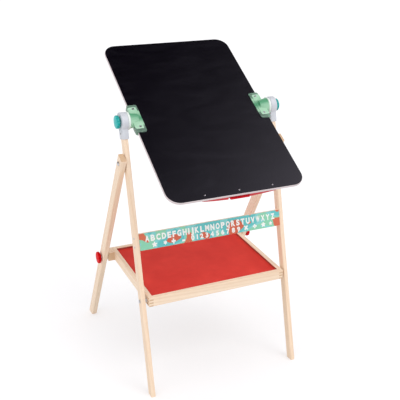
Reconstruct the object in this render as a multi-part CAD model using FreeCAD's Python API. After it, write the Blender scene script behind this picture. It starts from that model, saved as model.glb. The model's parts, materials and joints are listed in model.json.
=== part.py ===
"""Kids easel: a flip-over board between two leaning legs, a folding rear frame and a tray.

x runs across the easel, y towards its back, z up. The floor is z = 0. All lengths are in millimetres.
Each side piece is modelled on the +x side and mirrored for the other side.
"""
import FreeCAD, Part
import math
import os

V = FreeCAD.Vector
X_AXIS = V(1, 0, 0)

# ---- legs ----
leg_width = 14.0
leg_depth = 26.0
leg_edge_radius = 2.5
lean = 13.2                  # front legs lean back, degrees
pivot_height = 806.0         # board axis above the floor
leg_top_drop = 24.0          # leg end below the board axis, along the leg
hinge_drop = 68.15           # rear leg hinge below the bracket, along the leg
rear_foot_reach = 574.0      # centre of a rear foot behind the front feet
rear_width = 17.0
rear_depth = 33.0
rear_stub = 23.0             # rear leg end above its hinge
rear_end_radius = 1.5        # upper end of a rear leg
leg_gap = 2.0                # front leg to rear leg
# ---- board ----
board_width = 426.0
board_height = 642.0
board_corner = 40.0
chalk_thick = 1.2
core_thick = 7.2
steel_thick = 0.6
sheet_inset = 1.2            # bare rim round both face sheets
core_edge_radius = 1.2
board_tilt = 58.4            # board away from upright, degrees
# ---- letter rail between the front legs ----
rail_clearance = 4.5         # to the board as it flips past
rail_height = 51.0
rail_thick = 10.0
rail_edge_radius = 1.0
rail_screw_inset = 12.5      # from the rail's upper and lower edges
# ---- tray ----
tray_top = 302.0             # rim above the floor, over the pins
tray_rise = 2.7              # up towards its back, degrees
tray_overhang = 20.4         # in front of the pins that it folds on
tray_side_gap = 7.5          # to the front legs
tray_pin_drop = 16.0         # below the rim
latch_drop = 22.0            # clamping bolts of the rear legs, below the rim
latch_inset = 14.5           # clamping bolts in front of the tray's back
tray_rail_thick = 14.0
tray_rail_height = 30.0
tray_corner = 3.0            # upright corners at the front
tray_edge_radius = 1.5
finger_count = 6             # layers in a corner joint
panel_drop = 8.0             # rim above the panel
panel_thick = 4.0
panel_tongue = 5.0           # panel edge inside the rails
panel_slack = 0.3
block_depth = 38.0
block_edge_radius = 1.5
tray_fold = 68.0             # degrees
rear_fold = 38.5             # degrees
# ---- fasteners ----
bolt_radius = 4.0
bolt_head_across = 13.0
bolt_head_thick = 5.3
running_gap = 0.05           # shaft in a turning bore
face_gap = 0.3               # between parts that slide past each other
washer_radius = 9.0
washer_thick = 1.2
pin_bolt_radius = 3.0
pin_head_radius = 5.5
pin_head_thick = 2.0
pin_head_edge = 0.8
pin_socket_across = 4.0
pin_socket_depth = 1.3
dome_radius = 6.5
dome_height = 3.2
screw_radius = 2.0
screw_head_radius = 4.0
screw_head_thick = 1.8
wood_screw_length = 30.0
# ---- leg-top bracket ----
bracket_wall = 2.5
bracket_side_wall = 2.6
bracket_drum_radius = 27.0
bracket_skirt = 51.0         # lower end below the board axis
bracket_blend = 10.0
bracket_edge_radius = 1.5
bracket_screw_drop = 35.5    # below the board axis
drum_recess_radius = 13.0
drum_recess_depth = 1.0
# ---- board clamp ----
clamp_reach = 27.0           # onto the board
clamp_web = 5.0              # wall outside the board edge
clamp_wall = 3.0
clamp_half_length = 54.0
clamp_pad_step = 2.5         # raised pad above the flange
clamp_pad_margin = 5.0       # flange in front of the pad
clamp_end_margin = 11.0      # flange beyond the pad at both ends
clamp_corner = 6.0
clamp_edge_radius = 0.9
clamp_pad_edge_radius = 1.6
clamp_screw_inset = 11.0     # from the board edge
clamp_screw_z = 35.5
hub_inset = 14.0             # root of the hub inside the board edge
hub_length = 27.0
hub_inner_radius = 18.0
hub_outer_radius = 24.0
hub_wall = 6.0               # under the bolt head
hub_shell = 3.0              # wall of the cone round its ribs
hub_boss_radius = 10.0
hub_rib = 2.4
hub_rib_count = 6
disc_radius = 26.0
disc_thick = 7.1
disc_edge_radius = 1.5
# ---- knobs ----
knob_radius = 19.5
knob_thick = 11.0
knob_rim_radius = 2.75
knob_lobes = 8
knob_flute_radius = 6.0
knob_flute_bite = 1.8
knob_dome = 2.0
knob_collar_radius = 10.0
knob_collar_length = 2.9
insert_radius = 6.5
insert_length = 9.0
# ---- rear latch ----
latch_head_radius = 8.0
latch_head_thick = 5.0
latch_head_edge = 1.6
slot_play = 0.8
slot_flare = 12.0            # degrees to each side
# ---- paper clip on the white face ----
clip_width = 228.0
clip_depth = 24.0
clip_edge_margin = 1.5       # clip base inside the board edge
clip_end_height = 3.0
clip_rise = 9.5
clip_window = 66.0           # gap in the base for the finger tab
clip_wall = 2.0
clip_pin_inset = 14.4        # from the foot of the clip
clip_pin_height = 5.3
clip_pin_radius = 1.5
clip_pin_length = 106.0
jaw_width = 208.0
jaw_reach = 35.0             # from the pin to the gripping edge
jaw_thick = 2.0
jaw_corner = 4.0
jaw_mouth_gap = 1.5          # housing to blade
jaw_tab_width = 62.0
jaw_tab_overhang = 4.5       # beyond the board edge
jaw_bow = 2.5
jaw_barrel_radius = 2.7
spring_wire = 0.5            # radius
spring_pitch = 1.8
spring_coil_radius = 2.3
spring_turns = 4
spring_play = 0.8
clip_screw_spread = 105.0
clip_screw_inset = 14.5
clip_screw_head_radius = 3.0
clip_screw_head_thick = 1.2


def cosd(angle):
    return math.cos(math.radians(angle))


def sind(angle):
    return math.sin(math.radians(angle))


def tand(angle):
    return math.tan(math.radians(angle))


def turned(origin, angle):
    """A frame at origin, turned about x."""
    return FreeCAD.Placement(origin, FreeCAD.Rotation(X_AXIS, angle))


# ---- places worked out from the sizes ----
board_edge = board_width / 2
board_foot = -board_height / 2
clamp_inner = board_edge - clamp_reach
clamp_outer = board_edge + clamp_web
clamp_screw_x = board_edge - clamp_screw_inset
hub_inner = board_edge - hub_inset
hub_end = hub_inner + hub_length
bolt_head_end = hub_end - hub_wall
bracket_inner = hub_end + disc_thick + face_gap
leg_inner = bracket_inner + bracket_side_wall
leg_half_span = leg_inner + leg_width
bracket_outer = leg_half_span + bracket_side_wall
recess_floor = bracket_outer - drum_recess_depth
pivot_knob_start = recess_floor + washer_thick + face_gap
rear_inner = leg_half_span + leg_gap
rear_outer = rear_inner + rear_width
half_depth = leg_depth / 2
foot_y = half_depth / cosd(lean)


def leg_axis_y(height):
    """Centre line of a front leg at a height."""
    return foot_y + height * tand(lean)


pivot_y = leg_axis_y(pivot_height)
fold_drop = bracket_skirt + hinge_drop
fold_height = pivot_height - fold_drop * cosd(lean)
fold_y = leg_axis_y(fold_height)
tray_pivot_height = tray_top - tray_pin_drop
tray_pivot_y = leg_axis_y(tray_pivot_height)
rear_lean = math.degrees(math.atan2(rear_foot_reach - fold_y, fold_height))
latch_rise = ((tray_pin_drop - latch_drop) / cosd(tray_rise)
              + (rear_foot_reach - tray_pivot_y) * tand(tray_rise))
latch_height = (tray_pivot_height + latch_rise) / (1 + tand(rear_lean) * tand(tray_rise))
latch_y = rear_foot_reach - latch_height * tand(rear_lean)
leg_frame = turned(V(0, pivot_y, pivot_height), -lean)
board_frame = turned(V(0, pivot_y, pivot_height), -board_tilt)
rear_frame = turned(V(0, fold_y, fold_height), rear_lean)
tray_frame = FreeCAD.Placement(V(0, 0, 0), FreeCAD.Rotation(X_AXIS, tray_rise),
                               V(0, tray_pivot_y, tray_pivot_height))
latch_seat = tray_frame.inverse().multVec(V(0, latch_y, latch_height))
latch_distance = (fold_height - latch_height) / cosd(rear_lean)
tray_pin_distance = (pivot_height - tray_pivot_height) / cosd(lean)
rail_top_drop = board_height / 2 + jaw_tab_overhang + rail_clearance

half_board = (chalk_thick + core_thick + steel_thick) / 2
clamp_face = half_board + clamp_wall
clamp_pad_face = clamp_face + clamp_pad_step
latch_knob_start = rear_outer + washer_thick + face_gap
latch_head_end = leg_inner - face_gap

tray_half_width = leg_inner - tray_side_gap
tray_front = tray_pivot_y - tray_overhang
tray_back = latch_seat.y + latch_inset
tray_floor = tray_top - tray_rail_height
rail_inner = tray_half_width - tray_rail_thick
panel_top = tray_top - panel_drop
tray_bolt_grip = (rail_inner + screw_head_thick, tray_half_width)


# ---- basic forms ----
def box(x_range, y_range, z_range):
    corner = V(x_range[0], y_range[0], z_range[0])
    sizes = [pair[1] - pair[0] for pair in (x_range, y_range, z_range)]
    return Part.makeBox(*sizes, corner)


def rod(radius, x_range, y=0.0, z=0.0):
    """A cylinder along x."""
    return Part.makeCylinder(radius, x_range[1] - x_range[0], V(x_range[0], y, z), X_AXIS)


def upright_rod(radius, y_range, x, z):
    """A cylinder along y."""
    return Part.makeCylinder(radius, y_range[1] - y_range[0], V(x, y_range[0], z), V(0, 1, 0))


def hexagon(across, x_range, y=0.0, z=0.0):
    """A hexagonal prism along x."""
    corner = across / 2 / cosd(30)
    points = [V(x_range[0], y + corner * cosd(60 * k), z + corner * sind(60 * k)) for k in range(7)]
    return Part.Face(Part.makePolygon(points)).extrude(V(x_range[1] - x_range[0], 0, 0))


def dome(radius, height, x, y=0.0, z=0.0):
    """A rounded cap that stands out along +x."""
    ball = (radius ** 2 + height ** 2) / (2 * height)
    sphere = Part.makeSphere(ball, V(x + height - ball, y, z))
    return sphere.common(rod(2 * radius, (x, x + 2 * height), y, z))


def straight_edges(shape, direction):
    lines = [edge for edge in shape.Edges if isinstance(edge.Curve, Part.Line)]
    return [edge for edge in lines if abs(edge.Curve.Direction.dot(direction)) > 0.999]


def rounded(shape, radius, direction):
    """Fillet the straight edges that run along a direction."""
    return shape.makeFillet(radius, straight_edges(shape, direction))


def round_rims(shape, radius, x):
    """Fillet the closed outline that lies in the plane at x."""
    flat = [edge for edge in shape.Edges
            if abs(edge.BoundBox.XMin - x) < 1e-4 and abs(edge.BoundBox.XMax - x) < 1e-4]
    return shape.makeFillet(radius, flat)


def placed(shape, frame):
    moved = shape.copy()
    moved.Placement = frame.multiply(moved.Placement)
    return moved


def flat_edges(shape, direction):
    """Edges that lie square to a direction."""
    found = []
    for edge in shape.Edges:
        bounds = edge.BoundBox
        if abs(V(bounds.XLength, bounds.YLength, bounds.ZLength).dot(direction)) < 1e-4:
            found.append(edge)
    return found


def mirrored(shape):
    return shape.mirror(V(0, 0, 0), X_AXIS)


def outline(points_and_arcs):
    """A closed face from a list of edges."""
    return Part.Face(Part.Wire(Part.__sortEdges__(points_and_arcs)))


def line(start, end):
    return Part.LineSegment(start, end).toShape()


def arc(start, through, end):
    return Part.Arc(start, through, end).toShape()


nodes = {}


def add(name, shape, frame=FreeCAD.Placement()):
    nodes[name] = placed(shape, frame)


def add_pair(name, shape, frame=FreeCAD.Placement()):
    """The same piece on the right and, mirrored, on the left."""
    right = placed(shape, frame)
    nodes[name + "_right"] = right
    nodes[name + "_left"] = mirrored(right)


def add_group(name, shape, frame=FreeCAD.Placement()):
    """Like pieces of both sides in one node."""
    right = placed(shape, frame)
    nodes[name] = Part.makeCompound([*right.Solids, *mirrored(right).Solids])


# ---- legs ----
def stick(x_range, top, length, depth=leg_depth):
    blank = box(x_range, (-depth / 2, depth / 2), (-length, top))
    return rounded(blank, leg_edge_radius, V(0, 0, 1))


def trimmed_at_floor(shape, frame):
    """Stand a piece on the floor and return it in its own frame."""
    reach = 2 * (rear_foot_reach + leg_half_span)
    below = box((-reach, reach), (-reach, reach), (-3 * leg_depth, 0))
    return placed(placed(shape, frame).cut(below), frame.inverse())


rail_screw_zs = (-rail_top_drop - rail_screw_inset, -rail_top_drop - rail_height + rail_screw_inset)
rail_y = -half_depth + rail_thick / 2


def rail_screw(z):
    """A countersunk screw through a leg into the end of the letter rail."""
    head = Part.makeCone(screw_radius, screw_head_radius, screw_head_thick,
                         V(leg_half_span - screw_head_thick, rail_y, z), X_AXIS)
    return rod(screw_radius, (leg_half_span - wood_screw_length, leg_half_span), rail_y, z).fuse(head)


hinge_insert_x = (leg_half_span - insert_length, leg_half_span)


def make_front_leg():
    leg = stick((leg_inner, leg_half_span), -leg_top_drop, pivot_height / cosd(lean) + leg_depth)
    leg = trimmed_at_floor(leg, leg_frame)
    through = (leg_inner - leg_width, leg_half_span + leg_width)
    leg = leg.cut(rod(pin_bolt_radius + running_gap, through, 0, -tray_pin_distance))
    leg = leg.cut(rod(insert_radius, hinge_insert_x, 0, -fold_drop))
    leg = leg.cut(rod(screw_radius, (leg_inner + bracket_wall, through[1]), 0, -bracket_screw_drop))
    for z in rail_screw_zs:
        leg = leg.cut(rail_screw(z))
    return leg


def make_rear_leg():
    length = fold_height / cosd(rear_lean) + rear_depth
    blank = stick((rear_inner, rear_outer), rear_stub, length, rear_depth)
    end = [edge for edge in flat_edges(blank, V(0, 0, 1)) if edge.BoundBox.ZMin > 0]
    leg = trimmed_at_floor(blank.makeFillet(rear_end_radius, end), rear_frame)
    through = (rear_inner - leg_gap, rear_outer + leg_gap)
    leg = leg.cut(rod(bolt_radius + running_gap, through))
    return leg.cut(rod(bolt_radius, through, 0, -latch_distance))


def make_letter_rail():
    rail = box((-leg_inner, leg_inner), (-half_depth, -half_depth + rail_thick),
               (-rail_top_drop - rail_height, -rail_top_drop))
    rail = rounded(rail, rail_edge_radius, X_AXIS)
    for z in rail_screw_zs:
        rail = rail.cut(rail_screw(z)).cut(mirrored(rail_screw(z)))
    return rail


def make_hinge_bolt():
    head_start = rear_outer + face_gap + washer_thick
    shank = rod(bolt_radius, (hinge_insert_x[0], head_start))
    return shank.fuse(dome(dome_radius, dome_height, head_start))


def ring(outer_radius, inner_radius, x_range, y=0.0, z=0.0):
    return rod(outer_radius, x_range, y, z).cut(rod(inner_radius, x_range, y, z))


add_pair("front_leg", make_front_leg(), leg_frame)
add_pair("rear_leg", make_rear_leg(), rear_frame)
add("letter_rail", make_letter_rail(), leg_frame)
add_group("rail_screws", Part.makeCompound([rail_screw(z) for z in rail_screw_zs]), leg_frame)
add_pair("hinge_bolt", make_hinge_bolt(), rear_frame)
add_group("hinge_inserts", ring(insert_radius, bolt_radius, hinge_insert_x), rear_frame)
hinge_spacer = ring(washer_radius, bolt_radius, (leg_half_span, rear_inner - face_gap))
hinge_washer_x = (rear_outer + face_gap, rear_outer + face_gap + washer_thick)
hinge_washer = ring(dome_radius, bolt_radius, hinge_washer_x)
add_group("hinge_spacers", hinge_spacer, rear_frame)
add_group("hinge_washers", hinge_washer, rear_frame)


# ---- leg-top brackets ----
def make_bracket():
    """A drum over the leg end with a skirt down the leg, blended by two hollow arcs."""
    side = half_depth + bracket_wall
    reach = bracket_drum_radius + bracket_blend
    blend_y = side + bracket_blend
    blend_z = -math.sqrt(reach ** 2 - blend_y ** 2)
    centre = V(0, blend_y, blend_z)
    touch = centre * (bracket_drum_radius / reach)
    inward = (V(0, -1, 0) - centre * (1 / reach)).normalize()
    bow = centre + inward * bracket_blend
    edges = []
    for sign in (1, -1):
        edges.append(line(V(0, sign * side, -bracket_skirt), V(0, sign * side, blend_z)))
        edges.append(arc(V(0, sign * side, blend_z), V(0, sign * bow.y, bow.z),
                         V(0, sign * touch.y, touch.z)))
    edges.append(line(V(0, -side, -bracket_skirt), V(0, side, -bracket_skirt)))
    edges.append(arc(V(0, -touch.y, touch.z), V(0, 0, bracket_drum_radius), V(0, touch.y, touch.z)))
    body = outline(edges).extrude(V(bracket_outer - bracket_inner, 0, 0))
    body.translate(V(bracket_inner, 0, 0))
    body = round_rims(body, bracket_edge_radius, bracket_outer)
    body = round_rims(body, bracket_edge_radius, bracket_inner)
    body = body.cut(stick((leg_inner, leg_half_span), -leg_top_drop, 2 * bracket_skirt))
    body = body.cut(rod(bolt_radius + running_gap, (bracket_inner, bracket_outer)))
    body = body.cut(rod(drum_recess_radius, (recess_floor, bracket_outer)))
    return body.cut(rod(screw_radius, (leg_half_span, bracket_outer), 0, -bracket_screw_drop))


def make_bracket_screw():
    shank = rod(screw_radius, (leg_inner + bracket_wall, bracket_outer), 0, -bracket_screw_drop)
    return shank.fuse(dome(screw_head_radius, screw_head_thick, bracket_outer, 0, -bracket_screw_drop))


add_pair("bracket", make_bracket(), leg_frame)
add_group("bracket_screws", make_bracket_screw(), leg_frame)
pivot_washer = ring(washer_radius, bolt_radius + running_gap, (recess_floor, recess_floor + washer_thick))
add_group("pivot_washers", pivot_washer, leg_frame)


# ---- knobs ----
def knob_blank(start):
    """Collar, rounded rim and domed face, turned about x."""
    rim = knob_rim_radius
    base = start + knob_collar_length
    face = base + knob_thick - knob_dome
    inset = knob_radius - rim
    diagonal = rim * (1 - cosd(45))
    edges = [line(V(start, 0, 0), V(start, 0, knob_collar_radius)),
             line(V(start, 0, knob_collar_radius), V(base, 0, knob_collar_radius)),
             line(V(base, 0, knob_collar_radius), V(base, 0, inset)),
             line(V(base + rim, 0, knob_radius), V(face - rim, 0, knob_radius))]
    corner = V(base + diagonal, 0, knob_radius - diagonal)
    edges.append(arc(V(base, 0, inset), corner, V(base + rim, 0, knob_radius)))
    corner = V(face - diagonal, 0, knob_radius - diagonal)
    edges.append(arc(V(face - rim, 0, knob_radius), corner, V(face, 0, inset)))
    ball = (inset ** 2 + knob_dome ** 2) / (2 * knob_dome)
    half = inset / 2
    bulge = face + knob_dome - ball + math.sqrt(ball ** 2 - half ** 2)
    edges.append(arc(V(face, 0, inset), V(bulge, 0, half), V(face + knob_dome, 0, 0)))
    edges.append(line(V(face + knob_dome, 0, 0), V(start, 0, 0)))
    return outline(edges).revolve(V(0, 0, 0), X_AXIS, 360)


def make_knob(start):
    knob = knob_blank(start)
    end = start + knob_collar_length + knob_thick
    distance = knob_radius + knob_flute_radius - knob_flute_bite
    for k in range(knob_lobes):
        angle = 360 * k / knob_lobes
        y = distance * cosd(angle)
        z = distance * sind(angle)
        knob = knob.cut(rod(knob_flute_radius, (start, end), y, z))
    return knob.cut(rod(insert_radius, (start, start + insert_length)))


def make_insert(start):
    return ring(insert_radius, bolt_radius + running_gap, (start, start + insert_length))


add_pair("pivot_knob", make_knob(pivot_knob_start), leg_frame)
add_pair("pivot_knob_insert", make_insert(pivot_knob_start), leg_frame)


# ---- board ----
def board_outline(inset):
    """Rounded rectangle in the x-z plane."""
    x = board_edge - inset
    z = board_height / 2 - inset
    sheet = box((-x, x), (0, 1), (-z, z))
    return rounded(sheet, board_corner - inset, V(0, 1, 0))


def board_sheet(inset, y_range):
    """The outline between two depths."""
    face = [f for f in board_outline(inset).Faces if f.BoundBox.YMax < 1e-6][0]
    sheet = face.extrude(V(0, y_range[1] - y_range[0], 0))
    sheet.translate(V(0, y_range[0], 0))
    return sheet


clamp_screw_places = [(clamp_screw_x, side * clamp_screw_z) for side in (1, -1)]
clip_screw_z = board_foot + clip_screw_inset
clip_screw_xs = (-clip_screw_spread, 0.0, clip_screw_spread)


def drilled(sheet):
    across = (-2 * half_board, 2 * half_board)
    for x, z in clamp_screw_places:
        hole = upright_rod(screw_radius, across, x, z)
        sheet = sheet.cut(hole).cut(mirrored(hole))
    for x in clip_screw_xs:
        sheet = sheet.cut(upright_rod(screw_radius, across, x, clip_screw_z))
    return sheet


core_front = -half_board + chalk_thick
core_back = half_board - steel_thick
core = board_sheet(0.0, (core_front, core_back))
add("board_core", drilled(core.makeFillet(core_edge_radius, flat_edges(core, V(0, 1, 0)))), board_frame)
add("chalkboard_face", drilled(board_sheet(sheet_inset, (-half_board, core_front))), board_frame)
add("whiteboard_face", drilled(board_sheet(sheet_inset, (core_back, half_board))), board_frame)


# ---- clamps that carry the board ----
def clamp_slab(x_range, half_thick, half_length, edge_radius):
    slab = box(x_range, (-half_thick, half_thick), (-half_length, half_length))
    slab = rounded(slab, clamp_corner, V(0, 1, 0))
    return slab.makeFillet(edge_radius, flat_edges(slab, V(0, 1, 0)))


def hub_pockets():
    """Room between the ribs of the hub, open towards the friction disc."""
    slope = (hub_outer_radius - hub_inner_radius) / hub_length
    floor_radius = hub_outer_radius - hub_shell - slope * (hub_end - clamp_outer)
    room = Part.makeCone(floor_radius, hub_outer_radius - hub_shell, hub_end - clamp_outer,
                         V(clamp_outer, 0, 0), X_AXIS)
    room = room.cut(rod(hub_boss_radius, (clamp_outer, hub_end)))
    for k in range(hub_rib_count):
        rib = box((clamp_outer, hub_end), (-hub_rib / 2, hub_rib / 2), (0, hub_outer_radius))
        rib.rotate(V(0, 0, 0), X_AXIS, 360 * (k + 0.5) / hub_rib_count)
        room = room.cut(rib)
    return room


def make_clamp():
    """A moulded channel over the board edge, with a raised pad and a conical hub."""
    flange = clamp_slab((clamp_inner, clamp_outer), clamp_face, clamp_half_length, clamp_edge_radius)
    pad = clamp_slab((clamp_inner + clamp_pad_margin, clamp_outer), clamp_pad_face,
                     clamp_half_length - clamp_end_margin, clamp_pad_edge_radius)
    hub = Part.makeCone(hub_inner_radius, hub_outer_radius, hub_length, V(hub_inner, 0, 0), X_AXIS)
    body = flange.fuse([pad, hub]).removeSplitter().cut(hub_pockets())
    slot = box((clamp_inner - clamp_wall, board_edge), (-half_board, half_board),
               (-clamp_half_length - clamp_wall, clamp_half_length + clamp_wall))
    body = body.cut(slot)
    body = body.cut(hexagon(bolt_head_across, (board_edge, bolt_head_end)))
    body = body.cut(rod(bolt_radius, (bolt_head_end, hub_end)))
    for x, z in clamp_screw_places:
        body = body.cut(upright_rod(screw_radius, (-clamp_pad_face, clamp_pad_face), x, z))
        for y_range in ((-clamp_pad_face, -clamp_pad_face + screw_head_thick),
                        (clamp_pad_face - screw_head_thick, clamp_pad_face)):
            body = body.cut(upright_rod(screw_head_radius, y_range, x, z))
    return body


def make_clamp_screw(x, z):
    """A screw post and its cap, flush with both pads."""
    post = upright_rod(screw_radius, (-clamp_pad_face, clamp_pad_face), x, z)
    for y_range in ((-clamp_pad_face, -clamp_pad_face + screw_head_thick),
                    (clamp_pad_face - screw_head_thick, clamp_pad_face)):
        post = post.fuse(upright_rod(screw_head_radius, y_range, x, z))
    return post


def make_pivot_bolt():
    head = hexagon(bolt_head_across, (bolt_head_end - bolt_head_thick, bolt_head_end))
    return head.fuse(rod(bolt_radius, (bolt_head_end, pivot_knob_start + insert_length)))


def make_friction_disc():
    disc = rod(disc_radius, (hub_end, bracket_inner - face_gap))
    for x in (hub_end, bracket_inner - face_gap):
        disc = round_rims(disc, disc_edge_radius, x)
    return disc.cut(rod(bolt_radius, (hub_end, bracket_inner)))


add_pair("clamp", make_clamp(), board_frame)
add_pair("pivot_bolt", make_pivot_bolt(), board_frame)
add_pair("friction_disc", make_friction_disc(), board_frame)
side_screws = Part.makeCompound([make_clamp_screw(x, z) for x, z in clamp_screw_places])
add_group("clamp_screws", side_screws, board_frame)


# ---- tray ----
finger = tray_rail_height / finger_count
panel_box = ((-rail_inner - panel_tongue, rail_inner + panel_tongue),
             (tray_front + tray_rail_thick - panel_tongue, tray_back - tray_rail_thick + panel_tongue),
             (panel_top - panel_thick, panel_top))


def panel_groove():
    """The panel's room in the four rails."""
    x_range, y_range, z_range = panel_box
    wider = [(low - panel_slack, high + panel_slack) for low, high in (x_range, y_range)]
    return box(wider[0], wider[1], z_range)


def finger_gaps(x_range, y_range, first):
    """Every second layer of a corner, to be cut from one of the two rails."""
    layers = range(first, finger_count, 2)
    return [box(x_range, y_range, (tray_floor + k * finger, tray_floor + (k + 1) * finger)) for k in layers]


corner_x = (rail_inner, tray_half_width)
front_y = (tray_front, tray_front + tray_rail_thick)
back_y = (tray_back - tray_rail_thick, tray_back)
rail_z = (tray_floor, tray_top)


def make_tray_rails():
    """All four rails at once, so that their rounded edges run on across the corner joints."""
    rails = box((-tray_half_width, tray_half_width), (tray_front, tray_back), rail_z)
    front = [edge for edge in straight_edges(rails, V(0, 0, 1)) if edge.BoundBox.YMax < front_y[1]]
    rails = rails.makeFillet(tray_corner, front)
    rails = rails.cut(box((-rail_inner, rail_inner), (front_y[1], back_y[0]), rail_z))
    return rails.makeFillet(tray_edge_radius, flat_edges(rails, V(0, 0, 1)))


tray_rails = make_tray_rails()


def make_cross_rail(y_range):
    rail = tray_rails.common(box((-tray_half_width, tray_half_width), y_range, rail_z))
    for gap in finger_gaps(corner_x, y_range, 0):
        rail = rail.cut(gap).cut(mirrored(gap))
    return rail.cut(panel_groove())


def make_side_rail():
    rail = tray_rails.common(box(corner_x, (tray_front, tray_back), rail_z))
    for gap in finger_gaps(corner_x, front_y, 1) + finger_gaps(corner_x, back_y, 1):
        rail = rail.cut(gap)
    rail = rail.cut(rod(pin_bolt_radius, tray_bolt_grip, tray_pivot_y, tray_pivot_height))
    return rail.cut(panel_groove())


def make_tray_bolt():
    """A flat-headed pin through the front leg, screwed into the side rail."""
    head = (leg_half_span + face_gap, leg_half_span + face_gap + pin_head_thick)
    bolt = rod(pin_head_radius, head, tray_pivot_y, tray_pivot_height)
    bolt = round_rims(bolt, pin_head_edge, head[1])
    bolt = bolt.fuse(rod(pin_bolt_radius, (tray_bolt_grip[0], head[0]), tray_pivot_y, tray_pivot_height))
    socket_x = (head[1] - pin_socket_depth, head[1])
    socket = hexagon(pin_socket_across, socket_x, tray_pivot_y, tray_pivot_height)
    return bolt.cut(socket)


def slot_direction():
    """Way in which the clamping bolt leaves the tray's block as folding starts, seen from the tray."""
    block = V(0, -(latch_height - tray_pivot_height), latch_y - tray_pivot_y) * tray_fold
    bolt = V(0, -(fold_height - latch_height), -(latch_y - fold_y)) * rear_fold
    return tray_frame.Rotation.inverted().multVec((bolt - block).normalize())


def latch_slot(radius, x_range):
    """Round seat at the bolt, opening in a flared channel."""
    along = slot_direction()
    across = V(0, along.z, -along.y)
    seat = V(x_range[0], latch_seat.y, latch_seat.z)
    length = 2 * tray_rail_height
    spread = radius + length * tand(slot_flare)
    corners = [seat + across * radius, seat + along * length + across * spread,
               seat + along * length - across * spread, seat - across * radius]
    channel = Part.Face(Part.makePolygon([*corners, corners[0]])).extrude(V(x_range[1] - x_range[0], 0, 0))
    return channel.fuse(rod(radius, x_range, seat.y, seat.z))


def make_block():
    """The block beside the tray that hooks over the clamping bolt of a rear leg."""
    block = box((tray_half_width, leg_half_span), (tray_back - block_depth, tray_back), rail_z)
    block = rounded(block, block_edge_radius, X_AXIS)
    block = block.cut(latch_slot(bolt_radius + slot_play, (tray_half_width, leg_half_span)))
    return block.cut(latch_slot(latch_head_radius + slot_play, (tray_half_width, leg_inner)))


tray_spacer = ring(pin_head_radius, pin_bolt_radius + running_gap, (tray_half_width + face_gap, leg_inner),
                   tray_pivot_y, tray_pivot_height)
add("tray_front_rail", make_cross_rail(front_y), tray_frame)
add("tray_back_rail", make_cross_rail(back_y), tray_frame)
add_pair("tray_side_rail", make_side_rail(), tray_frame)
add("tray_panel", box(*panel_box), tray_frame)
add_pair("tray_block", make_block(), tray_frame)
add_pair("tray_bolt", make_tray_bolt(), tray_frame)
add_group("tray_spacers", tray_spacer)


# ---- clamping bolts and knobs of the rear legs ----
def make_latch_bolt():
    head_range = (latch_head_end - latch_head_thick, latch_head_end)
    bolt = round_rims(rod(latch_head_radius, head_range), latch_head_edge, head_range[0])
    return bolt.fuse(rod(bolt_radius, (head_range[1], latch_knob_start + insert_length)))


latch_frame = rear_frame.multiply(turned(V(0, 0, -latch_distance), 0))
inner_washer = ring(washer_radius, bolt_radius, (leg_half_span + face_gap, rear_inner))
outer_washer = ring(washer_radius, bolt_radius, (rear_outer, rear_outer + washer_thick))
add_pair("latch_bolt", make_latch_bolt(), latch_frame)
add_pair("latch_washers", Part.makeCompound([inner_washer, outer_washer]), latch_frame)
add_pair("latch_knob", make_knob(latch_knob_start), latch_frame)
add_pair("latch_knob_insert", make_insert(latch_knob_start), latch_frame)


# ---- paper clip at the foot of the white face ----
clip_z = (board_foot + clip_edge_margin, board_foot + clip_edge_margin + clip_depth)
pin_y = half_board + clip_pin_height
pin_z = clip_z[0] + clip_pin_inset
floor_y = half_board + clip_wall
end_y = half_board + clip_end_height
crown_y = end_y + clip_rise
window_x = clip_window / 2
pin_x = clip_pin_length / 2
web_starts = (window_x, pin_x)


def clip_screw_end(x):
    """The middle screw ends in the thin floor of the window."""
    return floor_y if x == 0 else end_y


def arched_prism(half_width, base_y, end_y, crown_y, z_range):
    """A block with an arched back, running along z."""
    corners = [V(-half_width, base_y, z_range[0]), V(-half_width, end_y, z_range[0]),
               V(half_width, end_y, z_range[0]), V(half_width, base_y, z_range[0])]
    edges = [line(corners[0], corners[1]), arc(corners[1], V(0, crown_y, z_range[0]), corners[2]),
             line(corners[2], corners[3]), line(corners[3], corners[0])]
    return outline(edges).extrude(V(0, 0, z_range[1] - z_range[0]))


def make_clip_base():
    """An arched housing, open towards the paper, with a gap for the finger tab."""
    base = arched_prism(clip_width / 2, half_board, end_y, crown_y, clip_z)
    hollow_x = clip_screw_spread - 2 * clip_screw_head_radius
    side_fall = clip_rise * (hollow_x / (clip_width / 2)) ** 2
    hollow = arched_prism(hollow_x, floor_y, crown_y - side_fall - clip_wall, crown_y - clip_wall,
                          (clip_z[0] + clip_wall, clip_z[1]))
    webs = []
    for start in web_starts:
        web = box((start, start + clip_wall), (half_board, crown_y), clip_z).common(base)
        webs += [web, mirrored(web)]
    base = base.cut(hollow).fuse(webs)
    base = base.cut(box((-window_x, window_x), (floor_y, crown_y), clip_z))
    base = base.cut(rod(clip_pin_radius, (-pin_x, pin_x), pin_y, pin_z))
    for x in clip_screw_xs:
        base = base.cut(upright_rod(screw_radius, (half_board, clip_screw_end(x)), x, clip_screw_z))
    return base.removeSplitter()


def make_clip_screws():
    screws = []
    for x in clip_screw_xs:
        shank = upright_rod(screw_radius, (-half_board, clip_screw_end(x)), x, clip_screw_z)
        head = dome(clip_screw_head_radius, clip_screw_head_thick, 0)
        head.rotate(V(0, 0, 0), V(0, 0, 1), -90)
        head.translate(V(x, -half_board, clip_screw_z))
        screws.append(shank.fuse(head))
    return Part.makeCompound(screws)


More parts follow.
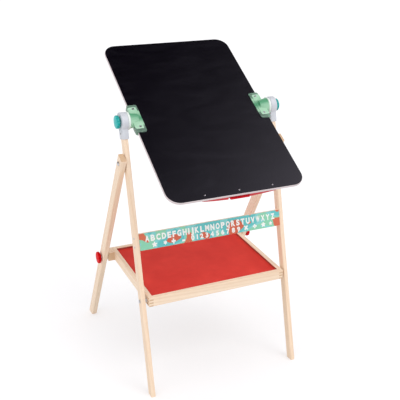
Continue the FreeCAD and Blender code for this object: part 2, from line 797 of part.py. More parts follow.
def make_jaw_blade(root_z):
    """The bowed blade, slotted at its root where the webs of the housing stand."""
    half = jaw_thick / 2
    tip_z = pin_z + jaw_reach
    tip_y = half_board + face_gap
    middle = V(0, (pin_y + tip_y) / 2 + jaw_bow, (root_z + tip_z) / 2)
    root = [V(0, pin_y - half, root_z), V(0, pin_y + half, root_z)]
    tip = [V(0, tip_y, tip_z - half), V(0, tip_y + jaw_thick, tip_z)]
    section = outline([line(*root), arc(root[1], middle + V(0, half, 0), tip[1]), line(*tip),
                       arc(root[0], middle - V(0, half, 0), tip[0])])
    blade = section.extrude(V(jaw_width, 0, 0))
    blade.translate(V(-jaw_width / 2, 0, 0))
    plan = box((-jaw_width / 2, jaw_width / 2), (0, crown_y), (root_z - half, tip_z))
    blade = blade.common(rounded(plan, jaw_corner, V(0, 1, 0)))
    slot_z = (root_z - half, clip_z[1] + jaw_mouth_gap)
    for slot_x in ((window_x - face_gap, window_x + clip_wall + face_gap), (pin_x - face_gap, jaw_width)):
        slot = box(slot_x, (0, crown_y), slot_z)
        blade = blade.cut(slot).cut(mirrored(slot))
    return blade


def make_clip_jaw():
    """The gripping blade with a barrel round the pin and a finger tab past the board edge."""
    half = jaw_thick / 2
    root_z = pin_z + spring_coil_radius + spring_wire + spring_play
    tab_x = jaw_tab_width / 2
    tab = box((-tab_x, tab_x), (pin_y - half, pin_y + half), (board_foot - jaw_tab_overhang, root_z))
    front = [edge for edge in straight_edges(tab, V(0, 1, 0)) if edge.BoundBox.ZMax < board_foot]
    tab = tab.makeFillet(jaw_corner, front)
    barrel_x = window_x - face_gap
    jaw = make_jaw_blade(root_z).fuse([tab, rod(jaw_barrel_radius, (-barrel_x, barrel_x), pin_y, pin_z)])
    return jaw.cut(rod(clip_pin_radius + running_gap, (-barrel_x, barrel_x), pin_y, pin_z)).removeSplitter()


def make_spring():
    """A torsion coil round the pin, beside the window."""
    helix = Part.makeHelix(spring_pitch, spring_pitch * spring_turns, spring_coil_radius)
    start = V(spring_coil_radius, 0, 0)
    section = Part.Wire(Part.makeCircle(spring_wire, start, V(0, 1, 0)))
    coil = Part.Wire(helix.Edges).makePipeShell([section], True, True)
    coil.rotate(V(0, 0, 0), V(0, 1, 0), 90)
    coil.translate(V(window_x + clip_wall + spring_wire + spring_play, pin_y, pin_z))
    return coil


add("clip_base", make_clip_base(), board_frame)
add("clip_jaw", make_clip_jaw(), board_frame)
add("clip_pin", rod(clip_pin_radius, (-pin_x, pin_x), pin_y, pin_z), board_frame)
add_pair("clip_spring", make_spring(), board_frame)
add("clip_screws", make_clip_screws(), board_frame)


# ---- the origin lies on the floor, in the middle of the whole easel ----
front_most = nodes["board_core"].optimalBoundingBox().YMin
rear_most = nodes["rear_leg_right"].optimalBoundingBox().YMax
middle_y = (front_most + rear_most) / 2
os.makedirs("parts", exist_ok=True)
for node_name, node_shape in nodes.items():
    node_shape.translate(V(0, -middle_y, 0))
    node_shape.exportStep(f"parts/{node_name}.step")
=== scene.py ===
"""Looks of the kids easel: finishes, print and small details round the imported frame. Metres, +Z up."""

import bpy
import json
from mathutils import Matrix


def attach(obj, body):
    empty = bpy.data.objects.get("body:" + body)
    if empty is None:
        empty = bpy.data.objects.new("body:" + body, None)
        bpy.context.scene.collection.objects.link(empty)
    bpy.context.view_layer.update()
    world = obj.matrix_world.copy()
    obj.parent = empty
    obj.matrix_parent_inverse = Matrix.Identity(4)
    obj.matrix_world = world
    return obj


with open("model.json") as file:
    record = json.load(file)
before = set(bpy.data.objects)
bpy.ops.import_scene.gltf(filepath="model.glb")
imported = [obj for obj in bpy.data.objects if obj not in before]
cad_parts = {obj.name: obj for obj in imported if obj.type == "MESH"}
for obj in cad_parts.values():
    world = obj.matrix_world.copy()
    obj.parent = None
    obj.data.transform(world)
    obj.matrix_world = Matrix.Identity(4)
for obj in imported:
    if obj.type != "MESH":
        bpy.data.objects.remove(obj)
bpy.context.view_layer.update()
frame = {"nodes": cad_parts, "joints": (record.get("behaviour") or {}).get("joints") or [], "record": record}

import json
import math

import bmesh
import bpy
from mathutils import Matrix, Vector

JOINTS = {joint["name"]: joint for joint in frame["joints"]}
NODES = frame["nodes"]
SLOTS = {row["node"]: row["material_slot"] for row in frame["record"]["subparts"]}
MM = 0.001
X_AXIS = Vector((1, 0, 0))


# ---- camera ----
CAMERA_PLACE = (-0.88394, -1.99463, 1.34236)
CAMERA_TARGET = (-0.0317, -0.11039, 0.59231)


def make_camera():
    data = bpy.data.cameras.new("camera")
    data.sensor_width = 36.0
    data.lens = 65.54
    data.shift_x = 0.0068
    data.shift_y = -0.033
    camera = bpy.data.objects.new("camera", data)
    bpy.context.collection.objects.link(camera)
    camera.location = CAMERA_PLACE
    view = Vector(CAMERA_TARGET) - camera.location
    camera.rotation_euler = view.to_track_quat("-Z", "Y").to_euler()
    bpy.context.scene.camera = camera


make_camera()


# ---- directions measured on the frame ----
def main_normal(name):
    """Normal of a node's largest face, turned towards the front and up."""
    face = max(NODES[name].data.polygons, key=lambda polygon: polygon.area)
    normal = face.normal.copy()
    return normal if normal.z - normal.y > 0 else -normal


def long_axis(name):
    """Direction of a stick, from the middle of its lowest to the middle of its highest corners."""
    places = sorted((vertex.co.copy() for vertex in NODES[name].data.vertices), key=lambda place: place.z)
    few = max(4, len(places) // 20)
    low = sum(places[:few], Vector()) / few
    high = sum(places[-few:], Vector()) / few
    return (high - low).normalized()


def lean_of(direction):
    """Angle of a direction from upright, in the plane square to x."""
    return math.atan2(direction.y, direction.z)


def face_lean(normal):
    """Angle from upright of a face that looks to the front."""
    return math.atan2(normal.z, -normal.y)


rail_normal = main_normal("letter_rail")
board_normal = main_normal("chalkboard_face")
leg_lean = face_lean(rail_normal)
board_lean = face_lean(board_normal)
rear_lean = lean_of(long_axis("rear_leg_right"))
tray_turn = lean_of(main_normal("tray_panel"))
pivot = Vector(JOINTS["board_flip"]["pos_m"])


# ---- node graphs ----
class Graph:
    """The node tree of a material or world. An input takes a number, a tuple or another node's socket."""

    def __init__(self, owner):
        self.owner = owner
        owner.use_nodes = True
        self.tree = owner.node_tree
        self.tree.nodes.clear()
        self.place = self.node("TexCoord")

    def node(self, kind, settings=None, **inputs):
        """Add a node. An underscore stands for a blank, and a bare number for an input's index."""
        made = self.tree.nodes.new("ShaderNode" + kind)
        for key, value in (settings or {}).items():
            setattr(made, key, value)
        for key, value in inputs.items():
            key = key.replace("_", " ").strip()
            self.feed(made.inputs[int(key)] if key.isdigit() else made.inputs[key], value)
        return made

    def feed(self, socket, value):
        if isinstance(value, bpy.types.NodeSocket):
            self.tree.links.new(value, socket)
        elif isinstance(value, tuple) and socket.type == "RGBA":
            socket.default_value = (*value[:3], 1.0)
        else:
            socket.default_value = value

    def local(self, turn=0.0, scale=(1.0, 1.0, 1.0), location=(0.0, 0.0, 0.0)):
        """Object coordinates in millimetres, turned about x so that a stick's own axes lie on x, y and z."""
        turned = self.node("Mapping", Vector=self.place.outputs["Object"], Rotation=(turn, 0.0, 0.0),
                           Scale=(1 / MM, 1 / MM, 1 / MM), Location=location)
        if scale == (1.0, 1.0, 1.0):
            return turned.outputs[0]
        return self.node("Mapping", Vector=turned.outputs[0], Scale=scale).outputs[0]

    def about(self, centre, turn):
        """Millimetres from a centre, along axes turned about x."""
        shift = Matrix.Rotation(turn, 3, "X") @ centre / -MM
        return self.local(turn, location=tuple(shift))

    def facing(self, axis, turn=0.0):
        """How far the surface faces along an axis, from -1 to 1."""
        normal = self.node("Mapping", Vector=self.place.outputs["Normal"], Rotation=(turn, 0.0, 0.0))
        return self.parts(normal.outputs[0])[axis]

    def parts(self, vector):
        """The X, Y and Z of a vector."""
        return self.node("SeparateXYZ", Vector=vector).outputs

    def within(self, value, low, high, edge):
        """1 between two limits, 0 outside, with soft edges."""
        above = self.spread(value, low - edge, low + edge)
        below = self.spread(value, high - edge, high + edge, 1.0, 0.0)
        return self.math("MULTIPLY", above, below)

    def noise(self, vector, scale, detail=2.0, roughness=0.5, distortion=0.0):
        made = self.node("TexNoise", Vector=vector, Scale=scale, Detail=detail, Roughness=roughness,
                         Distortion=distortion)
        return made.outputs["Fac"]

    def spread(self, value, low, high, to_low=0.0, to_high=1.0):
        """Map a range onto another, clamped."""
        made = self.node("MapRange", Value=value, From_Min=low, From_Max=high, To_Min=to_low, To_Max=to_high)
        return made.outputs[0]

    def math(self, operation, first, second=0.0):
        return self.node("Math", {"operation": operation}, _0=first, _1=second).outputs[0]

    def mix(self, factor, first, second):
        """Mix two colours."""
        return self.node("Mix", {"data_type": "RGBA"}, _0=factor, _6=first, _7=second).outputs[2]

    def ramp(self, factor, stops, interpolation="LINEAR"):
        """Colours along a factor, from pairs of position and colour."""
        made = self.node("ValToRGB", Fac=factor)
        band = made.color_ramp
        band.interpolation = interpolation
        while len(band.elements) < len(stops):
            band.elements.new(0.5)
        for element, (position, color) in zip(band.elements, stops):
            element.position = position
            element.color = (*color, 1.0)
        return made.outputs["Color"]

    def bump(self, height, strength, distance):
        return self.node("Bump", Height=height, Strength=strength, Distance=distance).outputs[0]

    def shader(self, kind, **inputs):
        return self.node(kind, **inputs).outputs[0]

    def choose(self, factor, first, second):
        """The first shader where the factor is 0, the second where it is 1."""
        return self.shader("MixShader", _0=factor, _1=first, _2=second)

    def surface(self, **inputs):
        """Finish a material with one principled shader."""
        return self.finish(self.shader("BsdfPrincipled", **inputs))

    def finish(self, shader, output="OutputMaterial"):
        """Show a shader and give back the material or world."""
        self.node(output, Surface=shader)
        return self.owner


def new_material(name):
    return Graph(bpy.data.materials.new(name))


def paint(material, *names):
    """Put one material on whole CAD nodes; a name without its side stands for both."""
    for name in names:
        for node in ([name] if name in NODES else [name + "_left", name + "_right"]):
            NODES[node].data.materials.clear()
            NODES[node].data.materials.append(material)


# ---- wood ----
WOOD = (0.86, 0.66, 0.49)
WOOD_LIGHT = (0.93, 0.76, 0.60)
WOOD_DARK = (0.70, 0.48, 0.31)
WOOD_END = (0.62, 0.42, 0.26)
# Painted shade for the tray's inner walls, reddened as if by light thrown back from the red panel.
PAINTED_WALL_SHADE = (0.36, 0.020, 0.014)
GRAIN_STRETCH = 0.045       # noise scale along the grain, as a share of that across it
PANEL_DROP = 8.0            # tray rim above its panel, mm
PANEL_EDGE = 1.0            # how far the painted shade on the inner walls runs down behind the panel, mm
PAINTED_SHADE_DROP = 2.2            # tray rim above the painted shade on the inner walls, mm


def tray_height(place):
    return (Matrix.Rotation(tray_turn, 3, "X") @ place).z


rim_height = max(tray_height(vertex.co) for vertex in NODES["tray_side_rail_right"].data.vertices) / MM


def painted_wall_shade(graph, axis, sign):
    """1 on the walls that face into the tray, between its panel and the rounded rim, where dark red painted
    shade goes.
    """
    inward = graph.spread(graph.math("MULTIPLY", graph.facing(axis, tray_turn), sign), 0.6, 0.8)
    level = graph.parts(graph.local(tray_turn))["Z"]
    low, high = rim_height - PANEL_DROP - PANEL_EDGE, rim_height - PAINTED_SHADE_DROP
    return graph.math("MULTIPLY", inward, graph.within(level, low, high, 0.3))


def make_wood(name, grain, turn=0.0, shift=0.0, inner=None):
    """Lacquered pale wood. The grain runs along one of the stick's own axes. inner gives the side that gets
    painted shade.
    """
    graph = new_material(name)
    stretch = tuple(GRAIN_STRETCH if axis == grain else 1.0 for axis in "XYZ")
    fibre = graph.local(turn, stretch, (shift, 0.6 * shift, 0.0))
    broad = graph.noise(fibre, 0.035, 3.0, 0.55, 0.4)
    rings = graph.node("TexWave", {"wave_type": "BANDS", "bands_direction": "DIAGONAL"}, Vector=fibre,
                       Scale=0.055, Distortion=5.0, Detail=2.5, Detail_Scale=0.6).outputs["Fac"]
    streak = graph.noise(fibre, 0.6, 5.0, 0.62)
    pore = graph.spread(graph.noise(fibre, 1.9, 2.0, 0.5), 0.60, 0.72)
    color = graph.mix(graph.spread(broad, 0.3, 0.7), WOOD, WOOD_LIGHT)
    color = graph.mix(graph.spread(rings, 0.55, 1.0, 0.0, 0.26), color, WOOD_DARK)
    color = graph.mix(graph.spread(streak, 0.50, 0.80, 0.0, 0.30), color, WOOD_DARK)
    color = graph.mix(graph.math("MULTIPLY", pore, 0.20), color, WOOD_END)
    speck = graph.spread(graph.noise(graph.local(turn), 1.4, 3.0, 0.6), 0.35, 0.75)
    cut = graph.spread(graph.math("ABSOLUTE", graph.facing(grain, turn)), 0.72, 0.86)
    color = graph.mix(cut, color, graph.mix(speck, WOOD_DARK, WOOD_END))
    # Dark red painted shade on the walls inside the tray, a little uneven along the streaks.
    if inner:
        cover = graph.spread(streak, 0.3, 0.7, 0.86, 1.0)
        color = graph.mix(graph.math("MULTIPLY", painted_wall_shade(graph, *inner), cover), color, PAINTED_WALL_SHADE)
    height = graph.math("SUBTRACT", streak, pore)
    return graph.surface(Base_Color=color, Roughness=graph.spread(streak, 0.3, 0.8, 0.42, 0.60),
                         Normal=graph.bump(height, 0.22, 0.0003), Specular_IOR_Level=0.4)


for side, sign, offset in (("left", 1.0, 0.0), ("right", -1.0, 300.0)):
    paint(make_wood("wood_front_leg_" + side, "Z", leg_lean, offset), "front_leg_" + side)
    paint(make_wood("wood_rear_leg_" + side, "Z", rear_lean, offset + 90.0), "rear_leg_" + side)
    paint(make_wood("wood_side_rail_" + side, "Y", tray_turn, offset + 40.0, ("X", sign)),
          "tray_side_rail_" + side)
    paint(make_wood("wood_block_" + side, "Y", tray_turn, offset + 170.0), "tray_block_" + side)
paint(make_wood("wood_letter_rail", "X", leg_lean, 500.0), "letter_rail")
paint(make_wood("wood_front_rail", "X", tray_turn, 620.0, ("Y", 1.0)), "tray_front_rail")
paint(make_wood("wood_back_rail", "X", tray_turn, 740.0, ("Y", -1.0)), "tray_back_rail")


# ---- plastics ----
def make_plastic(name, color, shade, roughness=0.32, rim=None, **more):
    """Moulded plastic: slight cloudiness, fine mould texture and uneven gloss. A rim colour is painted shade
    on a knob's sides.
    """
    graph = new_material(name)
    spot = graph.local()
    cloud = graph.noise(spot, 0.05, 3.0, 0.5)
    skin = graph.noise(spot, 2.2, 3.0, 0.6)
    scuff = graph.noise(spot, 0.25, 4.0, 0.65)
    tint = graph.mix(graph.spread(cloud, 0.35, 0.65), shade, color)
    # Painted shade: a knob's sides, away from its end faces, take the darker rim colour.
    if rim:
        end = graph.math("ABSOLUTE", graph.facing("X"))
        tint = graph.mix(graph.spread(end, 0.4, 0.8, 1.0, 0.0), tint, rim)
    rough = graph.spread(scuff, 0.35, 0.75, roughness - 0.05, roughness + 0.12)
    return graph.surface(Base_Color=tint, Roughness=rough, Normal=graph.bump(skin, 0.10, 0.0002), **more)


white = make_plastic("white_moulding", (0.62, 0.64, 0.69), (0.56, 0.58, 0.64), 0.42)
milky = make_plastic("milky_moulding", (0.78, 0.84, 0.81), (0.70, 0.77, 0.74), 0.40)
# The last colour given for each knob is painted shade on its sides.
teal = make_plastic("teal_moulding", (0.012, 0.50, 0.49), (0.006, 0.43, 0.42), 0.30, (0.003, 0.34, 0.32),
                    Specular_IOR_Level=0.30)
red = make_plastic("red_moulding", (0.77, 0.003, 0.008), (0.70, 0.002, 0.006), 0.36, (0.56, 0.001, 0.004),
                   Specular_IOR_Level=0.07)
clip_red = make_plastic("clip_moulding", (0.60, 0.008, 0.018), (0.52, 0.004, 0.012), 0.30,
                        Specular_IOR_Level=0.35)
paint(white, "bracket", "hinge_spacers", "tray_spacers")
paint(milky, "friction_disc")
paint(teal, "pivot_knob")
paint(red, "latch_knob")
paint(clip_red, "clip_base", "clip_jaw")

# The clamp's steps, mm: heights above the board's middle plane, and half lengths along the board's edge.
FLANGE_FACE = 7.5
PAD_FACE = 10.0
PAD_LENGTH = 43.0
PAD_END = 14.0
# Half length of the painted shade over the hub.
HUB_SHADE_HALF = 12.0


def make_mint():
    """Translucent green moulding: clear in its thin flange, milky in the pad and the hub, with painted shade
    over the hub and a painted highlight at the pad's ends.
    """
    graph = new_material("mint_moulding")
    parts = graph.parts(graph.about(pivot, board_lean))
    cloud = graph.noise(graph.local(), 0.05, 3.0, 0.5)
    skin = graph.noise(graph.local(), 1.8, 3.0, 0.6)
    off = graph.math("ABSOLUTE", parts["Y"])
    length = graph.math("ABSOLUTE", parts["Z"])
    pad = graph.math("MAXIMUM", graph.within(off, FLANGE_FACE + 1.2, PAD_FACE + 1.0, 0.5),
                     graph.within(length, -1.0, PAD_LENGTH - PAD_END, 2.0))
    # Painted shade: darker green in the middle, where the hub's dark inside shows through.
    painted_hub_shade = graph.within(length, -20.0, HUB_SHADE_HALF, 8.0)
    # rim marks the pad's ends, which get a painted highlight.
    rim = graph.math("MULTIPLY", pad, graph.within(length, PAD_LENGTH - 6.0, PAD_LENGTH + 8.0, 2.0))
    shade = graph.spread(cloud, 0.3, 0.7)
    thin = graph.mix(shade, (0.36, 0.60, 0.46), (0.42, 0.66, 0.52))
    thick = graph.mix(shade, (0.40, 0.69, 0.48), (0.48, 0.77, 0.56))
    tint = graph.mix(pad, thin, thick)
    # Painted shade over the hub, then a painted highlight at the pad's ends.
    tint = graph.mix(painted_hub_shade, tint, (0.12, 0.40, 0.22))
    tint = graph.mix(graph.math("MULTIPLY", rim, 0.5), tint, (0.55, 0.80, 0.62))
    clear = graph.spread(graph.math("MAXIMUM", pad, painted_hub_shade), 0.0, 1.0, 0.70, 0.14)
    return graph.surface(Base_Color=tint, Roughness=graph.spread(cloud, 0.3, 0.7, 0.26, 0.36),
                         Normal=graph.bump(skin, 0.06, 0.0002), Transmission_Weight=clear, IOR=1.42)


paint(make_mint(), "clamp")


# ---- metals ----
def make_metal(name, color, shade, roughness):
    """Plated or bare metal: a cloudy bloom and fine lines round the x axis."""
    graph = new_material(name)
    bloom = graph.noise(graph.local(), 0.7, 4.0, 0.6)
    tint = graph.mix(graph.spread(bloom, 0.35, 0.7), color, shade)
    rough = graph.spread(bloom, 0.3, 0.8, roughness - 0.08, roughness + 0.12)
    lines = graph.noise(graph.local(0.0, (0.1, 1.0, 1.0)), 6.0, 2.0, 0.5)
    return graph.surface(Base_Color=tint, Metallic=1.0, Roughness=rough,
                         Normal=graph.bump(lines, 0.08, 0.0001))


dull = make_metal("dull_zinc", (0.30, 0.28, 0.30), (0.20, 0.18, 0.20), 0.50)
zinc = make_metal("zinc", (0.66, 0.66, 0.68), (0.50, 0.50, 0.52), 0.38)
brass = make_metal("brass", (0.72, 0.55, 0.25), (0.60, 0.42, 0.17), 0.30)
for node, slot in SLOTS.items():
    if slot == "steel":
        paint(zinc, node)
    elif slot == "brass":
        paint(brass, node)
paint(dull, "clip_screws")


# ---- board and tray panel ----
def make_chalk():
    """Matt black writing paint with a trace of wiped chalk."""
    graph = new_material("chalk_paint")
    grit = graph.noise(graph.local(board_lean), 2.5, 4.0, 0.65)
    wipe = graph.noise(graph.local(board_lean, (0.5, 1.0, 1.6)), 0.012, 5.0, 0.62, 1.2)
    trace = graph.spread(wipe, 0.45, 0.80, 0.0, 0.02)
    color = graph.mix(trace, (0.0010, 0.0005, 0.0022), (0.16, 0.15, 0.20))
    return graph.surface(Base_Color=color, Roughness=graph.spread(wipe, 0.3, 0.8, 0.24, 0.28),
                         Normal=graph.bump(grit, 0.08, 0.0003), Specular_IOR_Level=0.45,
                         Specular_Tint=(0.88, 0.84, 1.0))


def make_enamel():
    """Glossy white sheet with faint wipe marks."""
    graph = new_material("white_enamel")
    wipe = graph.noise(graph.local(board_lean, (0.4, 1.0, 1.5)), 0.02, 5.0, 0.6, 1.0)
    color = graph.mix(graph.spread(wipe, 0.45, 0.8, 0.0, 0.4), (0.88, 0.88, 0.88), (0.81, 0.82, 0.83))
    peel = graph.noise(graph.local(board_lean), 0.4, 2.0, 0.5)
    return graph.surface(Base_Color=color, Roughness=graph.spread(wipe, 0.3, 0.8, 0.12, 0.22),
                         Normal=graph.bump(peel, 0.05, 0.0002), Coat_Weight=0.2)


def make_core():
    """Painted fibreboard edge."""
    graph = new_material("board_edge")
    fleck = graph.noise(graph.local(board_lean, (1.0, 2.5, 1.0)), 1.3, 4.0, 0.65)
    color = graph.mix(graph.spread(fleck, 0.35, 0.7), (0.74, 0.66, 0.68), (0.60, 0.52, 0.54))
    return graph.surface(Base_Color=color, Roughness=0.6, Normal=graph.bump(fleck, 0.3, 0.0003))


def make_red_panel():
    """Hardboard painted above, with an orange-peel skin, and bare below."""
    graph = new_material("red_panel")
    peel = graph.noise(graph.local(), 0.5, 3.0, 0.55)
    cloud = graph.noise(graph.local(), 0.015, 4.0, 0.6)
    color = graph.mix(graph.spread(cloud, 0.35, 0.7), (0.66, 0.034, 0.024), (0.74, 0.048, 0.034))
    under = graph.spread(graph.facing("Z"), -0.6, -0.4, 1.0, 0.0)
    color = graph.mix(under, color, graph.mix(peel, (0.36, 0.26, 0.18), (0.26, 0.18, 0.12)))
    return graph.surface(Base_Color=color, Roughness=graph.spread(cloud, 0.3, 0.8, 0.54, 0.64),
                         Normal=graph.bump(peel, 0.12, 0.0003), Specular_IOR_Level=0.2)


paint(make_chalk(), "chalkboard_face")
paint(make_enamel(), "whiteboard_face")
paint(make_core(), "board_core")
paint(make_red_panel(), "tray_panel")


# ---- print on the letter rail ----
FIELD_MARGIN = 0.4 * MM
FIELD_CORNER = 2.0 * MM
FIELD_THICK = 0.15 * MM
PRINT_THICK = 0.15 * MM
CAP_SHARE = 0.73                        # height of a capital as a share of the font size
BOLDNESS = 0.052
GLYPH_WIDTHS = (9.0 * MM, 13.5 * MM)
OWN_WIDTH = "I1-"                       # signs that keep the width the font gives them

rail_up = rail_normal.cross(X_AXIS).normalized()
rail_places = [vertex.co for vertex in NODES["letter_rail"].data.vertices]
rail_face = max(place.dot(rail_normal) for place in rail_places)
rail_low = min(place.dot(rail_up) for place in rail_places)
rail_high = max(place.dot(rail_up) for place in rail_places)
rail_half = max(place.x for place in rail_places)
rail_origin = rail_normal * rail_face + rail_up * rail_low
# From the rail's front face (x across, y up from its lower edge, z out of it) to the world.
RAIL = Matrix.Translation(rail_origin) @ Matrix((X_AXIS, rail_up, rail_normal)).transposed().to_4x4()


def link(name, mesh, material):
    made = bpy.data.objects.new(name, mesh)
    bpy.context.collection.objects.link(made)
    made.data.materials.clear()
    made.data.materials.append(material)
    return made


def baked(name, mesh):
    """Turn a bmesh into mesh data and free it."""
    data = bpy.data.meshes.new(name)
    mesh.to_mesh(data)
    mesh.free()
    return data


def make_plate(points, low, high):
    """A thin solid over a closed outline, between two heights above the rail."""
    mesh = bmesh.new()
    rims = [[mesh.verts.new((*point, z)) for point in points] for z in (low, high)]
    mesh.faces.new(rims[1])
    mesh.faces.new(rims[0][::-1])
    for k in range(len(points)):
        mesh.faces.new((rims[0][k], rims[0][k - 1], rims[1][k - 1], rims[1][k]))
    bmesh.ops.recalc_face_normals(mesh, faces=mesh.faces)
    return baked("plate", mesh)


def field_outline(steps=5):
    """The rail's front face with rounded corners."""
    across = rail_half - FIELD_MARGIN - FIELD_CORNER
    low = FIELD_MARGIN + FIELD_CORNER
    high = rail_high - rail_low - FIELD_MARGIN - FIELD_CORNER
    points = []
    for x, y, start in ((across, high, 0), (-across, high, 90), (-across, low, 180), (across, low, 270)):
        for k in range(steps + 1):
            angle = math.radians(start + 90 * k / steps)
            points.append((x + FIELD_CORNER * math.cos(angle), y + FIELD_CORNER * math.sin(angle)))
    return points


def make_field_paint():
    """Large smooth patches of teal, aqua, green and orange."""
    graph = new_material("print_field")
    spot = graph.local(leg_lean)
    drift = graph.noise(graph.local(leg_lean, (1.0, 1.0, 1.3), (37.0, 0.0, 12.0)), 0.013, 1.0, 0.4, 0.3)
    color = graph.ramp(drift, (
        (0.0, (0.60, 0.12, 0.06)), (0.40, (0.12, 0.52, 0.53)), (0.49, (0.22, 0.62, 0.61)),
        (0.545, (0.25, 0.62, 0.43)), (0.60, (0.62, 0.14, 0.07))), "CONSTANT")
    worn = graph.spread(graph.noise(spot, 0.9, 4.0, 0.6), 0.55, 0.85, 0.0, 0.18)
    color = graph.mix(worn, color, (0.75, 0.74, 0.68))
    return graph.surface(Base_Color=color, Roughness=0.42, Specular_IOR_Level=0.3,
                         Normal=graph.bump(graph.noise(spot, 1.5, 3.0, 0.6), 0.10, 0.0002))


def make_print_white():
    """White ink that covers unevenly."""
    graph = new_material("print_white")
    cover = graph.noise(graph.local(leg_lean), 1.1, 4.0, 0.6)
    color = graph.mix(graph.spread(cover, 0.4, 0.8), (0.90, 0.90, 0.88), (0.80, 0.81, 0.79))
    return graph.surface(Base_Color=color, Roughness=0.45, Normal=graph.bump(cover, 0.1, 0.0002))


def make_glyph(sign, height):
    """One printed sign as a thin solid, with its foot at the origin, centred on x."""
    curve = bpy.data.curves.new("glyph", "FONT")
    curve.body = sign
    curve.size = 1.0
    curve.offset = BOLDNESS
    curve.resolution_u = 3
    curve.align_x = "CENTER"
    curve.extrude = 0.5
    text = bpy.data.objects.new("glyph", curve)
    mesh = bpy.data.meshes.new_from_object(text)
    bpy.data.objects.remove(text)
    bpy.data.curves.remove(curve)
    size = height / CAP_SHARE
    places = [vertex.co.x * size for vertex in mesh.vertices]
    width = max(places) - min(places)
    narrow, wide = (0.0, width) if sign in OWN_WIDTH else GLYPH_WIDTHS
    squeeze = min(max(width, narrow), wide) / width
    mesh.transform(Matrix.Translation((-(max(places) + min(places)) / 2 / size, 0, 0)))
    mesh.transform(Matrix.Diagonal((size * squeeze, size, PRINT_THICK, 1)))
    mesh.transform(Matrix.Translation((0, 0, FIELD_THICK + PRINT_THICK / 2)))
    return mesh


def print_piece(name, parts, material):
    """Thin solids on the rail, joined into one piece that stands still with the frame."""
    whole = bmesh.new()
    for part in parts:
        whole.from_mesh(part)
        bpy.data.meshes.remove(part)
    data = baked(name, whole)
    data.transform(RAIL)
    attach(link(name, data, material), "frame")


def make_row(name, signs, start, end, foot, height):
    """A row of signs with even gaps between them."""
    parts = [make_glyph(sign, height) for sign in signs]
    widths = [2 * max(vertex.co.x for vertex in part.vertices) for part in parts]
    gap = (end - start - sum(widths)) / (len(signs) - 1)
    left = start
    for part, width in zip(parts, widths):
        part.transform(Matrix.Translation((left + width / 2, foot, 0)))
        left += width + gap
    print_piece(name, parts, print_white)


def motif(radius_at, x, y, count=60):
    """A printed shape round a centre, from its radius at each angle from straight up."""
    angles = [2 * math.pi * k / count for k in range(count)]
    points = [(x + radius_at(a) * math.sin(a), y + radius_at(a) * math.cos(a)) for a in angles]
    return make_plate(points, FIELD_THICK, FIELD_THICK + PRINT_THICK)


def star(outer, inner, points=5):
    def radius_at(angle):
        share = abs((angle * points / math.pi + 1) % 2 - 1)
        return inner + (outer - inner) * (1 - share)
    return radius_at


def flower(size, petals=6):
    return lambda angle: size * (0.78 + 0.22 * math.cos(petals * angle))


UPPER_FOOT = 25 * MM
LETTER = 17.5 * MM
LOWER_FOOT = 5 * MM
DIGIT = 14.5 * MM
SIGN = 1.4 * DIGIT
SIGN_FOOT = LOWER_FOOT - 2.7 * MM
MIDDLE = LOWER_FOOT + DIGIT / 2

print_white = make_print_white()
print_piece("print_field", (make_plate(field_outline(), 0.0, FIELD_THICK),), make_field_paint())
make_row("print_letters", "ABCDEFGHIJKLMNOPQRSTUVWXYZ", -0.218, 0.218, UPPER_FOOT, LETTER)
make_row("print_digits", "0123456789", -0.072, 0.094, LOWER_FOOT, DIGIT)
make_row("print_signs_left", "+-", -0.136, -0.092, SIGN_FOOT, SIGN)
make_row("print_signs_right", "\u00d7\u00f7", 0.108, 0.152, SIGN_FOOT, SIGN)
print_piece("print_motifs", (motif(star(9 * MM, 4 * MM), -0.19, MIDDLE),
                             motif(flower(6.5 * MM), -0.156, MIDDLE),
                             motif(flower(8 * MM, 5), 0.176, MIDDLE),
                             motif(star(6.5 * MM, 3 * MM), 0.202, MIDDLE)), print_white)


# ---- cross recesses of the screws, drawn as dark crosses of painted shade ----
RECESS_THICK = 0.3 * MM
RECESS_PROUD = 0.02 * MM        # above the screw's head, so that it shows
RECESS_SLIM = 0.2               # width of a cross's arm as a share of its reach
FIRST_TURN = 10                 # degrees, so that no two crosses stand alike
NEXT_TURN = 37


def islands(name):
    """The separate pieces of a node's mesh, each as a list of places."""
    mesh = bmesh.new()
    mesh.from_mesh(NODES[name].data)
    bmesh.ops.remove_doubles(mesh, verts=mesh.verts, dist=1e-6)
    seen, found = set(), []
    for start in mesh.verts:
        if start in seen:
            continue
        seen.add(start)
        reached, places = [start], []
        while reached:
            vertex = reached.pop()
            places.append(vertex.co.copy())
            others = [edge.other_vert(vertex) for edge in vertex.link_edges]
            fresh = [other for other in others if other not in seen]
            seen.update(fresh)
            reached += fresh
        found.append(places)
    mesh.free()
    return found


def add_cross(mesh, places, normal, turn, reach):
    """A cross in the middle of the end that a screw turns towards a direction."""
    across = normal.orthogonal().normalized()
    across.rotate(Matrix.Rotation(math.radians(turn), 3, normal))
    along = normal.cross(across)
    middle = [(min(place.dot(axis) for place in places) + max(place.dot(axis) for place in places)) / 2
              for axis in (across, along)]
    top = max(place.dot(normal) for place in places) + RECESS_PROUD
    centre = across * middle[0] + along * middle[1] + normal * (top - RECESS_THICK / 2)
    bar = (reach, RECESS_SLIM * reach)
    for first, second in (bar, bar[::-1]):
        block = bmesh.ops.create_cube(mesh, size=1.0)["verts"]
        shape = Matrix((across * first, along * second, normal * RECESS_THICK)).transposed()
        bmesh.ops.transform(mesh, verts=block, matrix=Matrix.Translation(centre) @ shape.to_4x4())


def make_crosses(name, node, body, outward, reach):
    """Dark crosses on all screws of a node, painted shade standing in for the shade in their recesses.
    outward gives the sides that a screw's heads look to.
    """
    whole = bmesh.new()
    for k, places in enumerate(islands(node)):
        for normal in outward(places):
            add_cross(whole, places, normal, NEXT_TURN * k + FIRST_TURN, reach)
    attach(link(name, baked(name, whole), recess_shade), body)


def both_faces(places):
    return board_normal, -board_normal


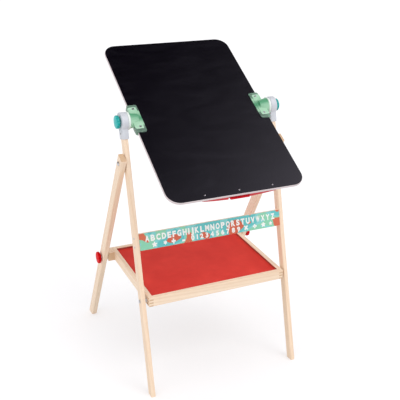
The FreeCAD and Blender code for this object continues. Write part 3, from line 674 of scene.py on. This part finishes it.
def chalk_face(places):
    return (board_normal,)


def outer_side(places):
    return (X_AXIS * math.copysign(1.0, places[0].x),)


# Dark metal as painted shade: the shade that fills a cross recess.
recess_shade = make_metal("painted_recess_shade", (0.10, 0.10, 0.11), (0.05, 0.05, 0.06), 0.6)
make_crosses("clamp_screw_crosses", "clamp_screws", "board", both_faces, 4.4 * MM)
make_crosses("clip_screw_crosses", "clip_screws", "board", chalk_face, 3.0 * MM)
make_crosses("rail_screw_crosses", "rail_screws", "frame", outer_side, 4.4 * MM)
make_crosses("bracket_screw_crosses", "bracket_screws", "frame", outer_side, 3.6 * MM)


# ---- room ----
FLOOR_HALF = 30.0


def make_floor():
    """Seen by the camera, part of the white comes from the floor itself, so that shadows stay light."""
    corners = [(x * FLOOR_HALF, y * FLOOR_HALF, 0) for x, y in ((-1, -1), (1, -1), (1, 1), (-1, 1))]
    data = bpy.data.meshes.new("floor")
    data.from_pydata(corners, [], [(0, 1, 2, 3)])
    graph = new_material("floor")
    paths = graph.node("LightPath").outputs
    seen = graph.math("MAXIMUM", paths["Is Camera Ray"],
                      graph.math("MAXIMUM", paths["Is Glossy Ray"], paths["Is Transmission Ray"]))
    glow = graph.shader("Emission", Color=(0.97, 0.965, 1.0), Strength=0.395)
    pale = graph.shader("BsdfDiffuse", Color=(0.64, 0.638, 0.645))
    plain = graph.shader("BsdfDiffuse", Color=(0.80, 0.80, 0.80))
    shown = graph.shader("AddShader", _0=glow, _1=pale)
    link("floor", data, graph.finish(graph.choose(seen, plain, shown)))


def make_world():
    """White to the camera and through clear parts, a soft dome for matt light, a dark left side for gloss."""
    world = bpy.data.worlds.new("world")
    bpy.context.scene.world = world
    world.cycles.sampling_method = "NONE"
    graph = Graph(world)
    paths = graph.node("LightPath").outputs
    sky = graph.parts(graph.place.outputs["Generated"])
    levels = ((0.20, 0.0), (0.34, 0.10), (0.46, 0.50), (0.58, 1.0))
    ceiling = graph.ramp(graph.math("SUBTRACT", sky["X"], sky["Y"]),
                         [(position, (level, level, level)) for position, level in levels])
    horizon = graph.spread(sky["Z"], 0.05, 0.30, 1.0, 0.0)
    strength = graph.math("MAXIMUM", graph.math("MULTIPLY", ceiling, 2.4), horizon)
    gloss = graph.shader("Background", Color=(1.0, 0.98, 1.0), Strength=strength)
    soft = graph.shader("Background", Color=(1.0, 0.995, 0.99), Strength=0.92)
    white = graph.shader("Background", Color=(1.0, 1.0, 1.0), Strength=1.0)
    seen = graph.math("MAXIMUM", paths["Is Camera Ray"], paths["Is Transmission Ray"])
    matt = graph.choose(paths["Is Glossy Ray"], soft, gloss)
    graph.finish(graph.choose(seen, matt, white), "OutputWorld")


def make_sun(name, direction, strength, spread):
    data = bpy.data.lights.new(name, "SUN")
    data.energy = strength
    data.angle = math.radians(spread)
    lamp = bpy.data.objects.new(name, data)
    bpy.context.collection.objects.link(lamp)
    lamp.rotation_euler = Vector(direction).to_track_quat("-Z", "Y").to_euler()


make_floor()
make_world()
make_sun("key", (-0.30, 0.60, -0.74), 0.60, 35.0)
make_sun("fill", (0.85, 0.35, -0.30), 0.42, 60.0)
bpy.context.scene.view_settings.view_transform = "Standard"
